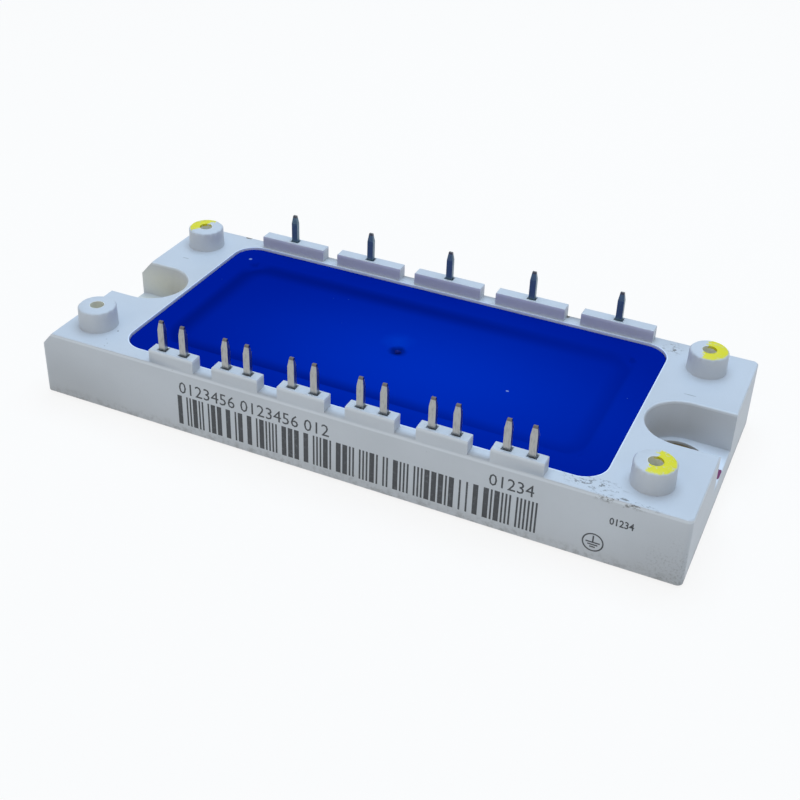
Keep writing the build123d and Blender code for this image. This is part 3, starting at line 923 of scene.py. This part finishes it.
def ink_finish(printing):
    """Matt grey ink, paler where it is thin."""
    finish = Finish("Printing ink", printing.ink_colour, 0.6)
    finish.tint(finish.streaks(1.5, level=0.52, soft=0.15), shade(printing.ink_colour, 2.4), 0.6)
    finish.bump(5.0, 0.006 * MM)
    return finish.material


class POWERMODULE_OT_bars(bpy.types.Operator):
    """Print the strip of bars, in an order of its own"""

    bl_idname = "power_module.bars"
    bl_label = "Bar strip"

    def execute(self, context):
        printing = context.scene.power_module.printing
        narrow, wide = printing.narrow_bar, printing.wide_bar
        length = printing.strip_right - printing.strip_left
        mean = narrow + (wide - narrow) * printing.wide_share
        count = 2 * int(length / mean / 2) + 1
        is_wide = np.random.RandomState(printing.bar_order).rand(count) < printing.wide_share
        edges = np.concatenate(([0.0], np.cumsum(np.where(is_wide, wide, narrow))))
        edges = printing.strip_left + edges * length / edges[-1]
        film, flat = printing.ink_film, np.ones(len(edges) // 2)
        points, faces = blocks(
            np.stack((edges[0::2], flat * (WALL_Y - film), flat * printing.strip_bottom), -1),
            np.stack((edges[1::2], flat * (WALL_Y + film), flat * printing.strip_top), -1),
        )
        add_piece("printed_bars", points, faces, ink_finish(printing))
        return {"FINISHED"}


def printed_row(name, numbers, left, base, right, height, weight, film, finish):
    """A row of plain numbers on the front wall, fitted between two ends and a height.

    The type is made a flat mesh with its own thickness, its strokes widened by the weight, then
    stretched to the wanted width and height and stood up against the wall.
    """
    curve = bpy.data.curves.new(name, "FONT")
    curve.body = numbers
    curve.extrude = 0.5
    curve.offset = weight
    curve.resolution_u = 2
    letters = bpy.data.objects.new(name, curve)
    bpy.context.scene.collection.objects.link(letters)
    bpy.context.view_layer.update()
    flat = letters.evaluated_get(bpy.context.evaluated_depsgraph_get())
    mesh = bpy.data.meshes.new_from_object(flat)
    bpy.data.objects.remove(letters)
    bpy.data.curves.remove(curve)
    points = np.empty(len(mesh.vertices) * 3)
    mesh.vertices.foreach_get("co", points)
    points = points.reshape(-1, 3)
    low, high = points.min(0), points.max(0)
    along, up, out = ((points - low) / (high - low)).T
    placed = np.stack(
        (left + along * (right - left), WALL_Y + (1 - 2 * out) * film, base + up * height), -1
    )
    mesh.vertices.foreach_set("co", placed.ravel())
    mesh.update()
    hang(name, mesh, finish)


class POWERMODULE_OT_numbers(bpy.types.Operator):
    """Print the rows of plain numbers"""

    bl_idname = "power_module.numbers"
    bl_label = "Plain numbers"

    def execute(self, context):
        printing = context.scene.power_module.printing
        finish = ink_finish(printing)
        # Left end, base line, right end and height in millimetres, and the strokes' weight
        rows = (
            ("long_row", printing.long_numbers, (-27.2, 7.75, -0.8, 2.1), 0.0),
            ("short_row", printing.short_numbers, (24.8, 7.95, 31.6, 2.05), 0.0),
            ("side_row", printing.side_numbers, (42.6, 7.35, 46.1, 1.25), 0.02),
        )
        for name, numbers, box, weight in rows:
            printed_row(name, numbers, *mm(*box), weight, printing.ink_film, finish)
        return {"FINISHED"}


class POWERMODULE_OT_signs(bpy.types.Operator):
    """Print the earth sign on the front wall"""

    bl_idname = "power_module.signs"
    bl_label = "Earth sign"

    def execute(self, context):
        printing = context.scene.power_module.printing
        film, radius = printing.ink_film, printing.sign_radius
        sink, outward = np.array((0, 2 * film, 0)), np.array((0.0, -1.0, 0.0))

        def stroke(x, z, closed=False):
            """A line of the sign through points given as shares of its radius."""
            x = EARTH_SIGN_X + np.array(x) * radius
            z = EARTH_SIGN_Z + np.array(z) * radius
            path = np.stack((x, np.full(len(x), WALL_Y - film), z), -1)
            return band(path, printing.line_width, sink, outward, closed)

        angle = np.linspace(0, 2 * np.pi, 40, endpoint=False)
        parts = [stroke(np.cos(angle), np.sin(angle), closed=True), stroke((0, 0), (0.8, 0))]
        for share, drop in ((0.7, 0.0), (0.5, 0.27), (0.28, 0.54)):
            parts.append(stroke((-share, share), (-drop, -drop)))
        points, faces = joined(parts)
        add_piece("earth_sign", points, faces, ink_finish(printing))
        return {"FINISHED"}


class POWERMODULE_OT_notch_mark(bpy.types.Operator):
    """Add the dab of paint on the floor of the right notch"""

    bl_idname = "power_module.notch_mark"
    bl_label = "Notch mark"

    def execute(self, context):
        marks = context.scene.power_module.marks
        radii = np.array([0.0, 1.0, 1.0, 0.9, 0.6, 0.0]) * MM
        heights = NOTCH_FLOOR + np.array([-0.3, -0.3, 0.3, 0.8, 1.0, 1.0]) * marks.paint_film
        points, faces = turned(
            radii, heights, (53.27 * MM, -0.95 * MM, 0), (0.42, 1.4),
            ((0.12, 4, -math.pi / 2), (0.03, 3, 0.5)), turns=32,
        )
        pink = Finish("Dark pink paint", marks.notch_colour, 0.45)
        pink.tint(pink.streaks(0.9, level=0.42, soft=0.2), shade(marks.notch_colour, 0.8), 0.7)
        pink.bump(3.0, 0.015 * MM)
        add_piece("notch_mark", points, faces, pink.material, smooth=True)
        return {"FINISHED"}


class POWERMODULE_OT_stage(bpy.types.Operator):
    """Set up the camera, the lamps, the sky and the floor"""

    bl_idname = "power_module.stage"
    bl_label = "Stage"

    def execute(self, context):
        stage = context.scene.power_module.stage
        self.add_camera(stage)
        self.add_floor(stage)
        self.add_sky(stage)
        lamps = (
            ("top_lamp", (0.0, 0.10, 0.62), 0.55, 3.5, (0.55, 0.76, 1.0)),
            ("front_lamp", (-0.10, -0.60, 0.22), 0.45, 0.42, (1.0, 0.90, 0.74)),
        )
        for name, place, size, power, colour in lamps:
            light = bpy.data.lights.new(name, "AREA")
            light.size = size
            light.energy = power * stage.lamp_level
            light.color = colour
            lamp = bpy.data.objects.new(name, light)
            lamp.location = place
            lamp.rotation_euler = Vector(place).to_track_quat("Z", "Y").to_euler()
            context.scene.collection.objects.link(lamp)
        context.scene.view_settings.view_transform = "Standard"
        return {"FINISHED"}

    def add_camera(self, stage):
        """The camera at the photograph's angle, turned by its roll about its own axis."""
        lens = bpy.data.cameras.new("camera")
        lens.lens = stage.camera_lens
        lens.shift_y = stage.camera_shift
        lens.clip_start = 1 * MM
        camera = bpy.data.objects.new("camera", lens)
        place, aim = Vector(stage.camera_place), Vector(stage.camera_aim)
        look = (aim - place).to_track_quat("-Z", "Y").to_matrix()
        turn = look @ Matrix.Rotation(stage.camera_roll, 3, "Z")
        camera.matrix_world = Matrix.Translation(place) @ turn.to_4x4()
        bpy.context.scene.collection.objects.link(camera)
        bpy.context.scene.camera = camera

    def add_floor(self, stage):
        """A wide pale floor just under the base plate, see-through from below."""
        half, low = 3.0, -0.02 * MM
        mesh = bpy.data.meshes.new("floor")
        corners = [(-half, -half, low), (half, -half, low), (half, half, low), (-half, half, low)]
        mesh.from_pydata(corners, [], [(0, 1, 2, 3)])
        floor = bpy.data.objects.new("floor", mesh)
        bpy.context.scene.collection.objects.link(floor)
        pale = Finish("Pale floor", stage.floor_colour, 0.9)
        share = pale.math("MULTIPLY", pale.seen(), stage.floor_white)
        white = pale.put("ShaderNodeEmission").outputs[0]
        above = pale.put("ShaderNodeMixShader", {0: share, 1: pale.shader.outputs[0], 2: white})
        under = pale.put("ShaderNodeNewGeometry").outputs["Backfacing"]
        clear = pale.put("ShaderNodeBsdfTransparent").outputs[0]
        sides = pale.put("ShaderNodeMixShader", {0: under, 1: above.outputs[0], 2: clear})
        pale.tree.links.new(sides.outputs[0], pale.output.inputs["Surface"])
        mesh.materials.append(pale.material)

    def add_sky(self, stage):
        """Even light from all round, seen as plain white past the floor's edge."""
        world = bpy.data.worlds.new("sky")
        world.use_nodes = True
        nodes = Nodes(world.node_tree)
        levels = {"Value": nodes.seen(), "To Min": stage.sky_level, "To Max": 1.0}
        level = nodes.put("ShaderNodeMapRange", levels).outputs["Result"]
        even = {"Color": (0.95, 0.98, 1.0, 1.0), "Strength": level}
        light = nodes.put("ShaderNodeBackground", even).outputs[0]
        nodes.put("ShaderNodeOutputWorld", {"Surface": light})
        bpy.context.scene.world = world


SETTINGS = (
    PlasticSettings, MetalSettings, PrintSettings, MarkSettings, StageSettings, ModuleSettings
)
STEPS = (
    POWERMODULE_OT_frame, POWERMODULE_OT_lid, POWERMODULE_OT_gate_stub, POWERMODULE_OT_terminals,
    POWERMODULE_OT_base, POWERMODULE_OT_inside, POWERMODULE_OT_bars, POWERMODULE_OT_numbers,
    POWERMODULE_OT_signs, POWERMODULE_OT_notch_mark, POWERMODULE_OT_stage,
)


class POWERMODULE_PT_panel(bpy.types.Panel):
    """The settings and the steps, in order."""

    bl_label = "Power module"
    bl_space_type = "VIEW_3D"
    bl_region_type = "UI"
    bl_category = "Power module"

    def draw(self, context):
        settings = context.scene.power_module
        for part in ("plastics", "metals", "printing", "marks", "stage"):
            group = getattr(settings, part)
            box = self.layout.box()
            box.label(text=part.capitalize())
            for key in group.__annotations__:
                box.prop(group, key)
        for step in STEPS:
            self.layout.operator(step.bl_idname)


def register():
    """Registers the classes and hangs the settings on the scene."""
    for kind in (*SETTINGS, *STEPS, POWERMODULE_PT_panel):
        bpy.utils.register_class(kind)
    bpy.types.Scene.power_module = PointerProperty(type=ModuleSettings)


def unregister():
    """Takes the settings and the classes away again."""
    del bpy.types.Scene.power_module
    for kind in reversed((*SETTINGS, *STEPS, POWERMODULE_PT_panel)):
        bpy.utils.unregister_class(kind)


def main():
    """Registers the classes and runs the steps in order."""
    register()
    bpy.ops.power_module.frame()
    bpy.ops.power_module.lid()
    bpy.ops.power_module.gate_stub()
    bpy.ops.power_module.terminals()
    bpy.ops.power_module.base()
    bpy.ops.power_module.inside()
    bpy.ops.power_module.bars()
    bpy.ops.power_module.numbers()
    bpy.ops.power_module.signs()
    bpy.ops.power_module.notch_mark()
    bpy.ops.power_module.stage()


if __name__ == "__main__":
    main()
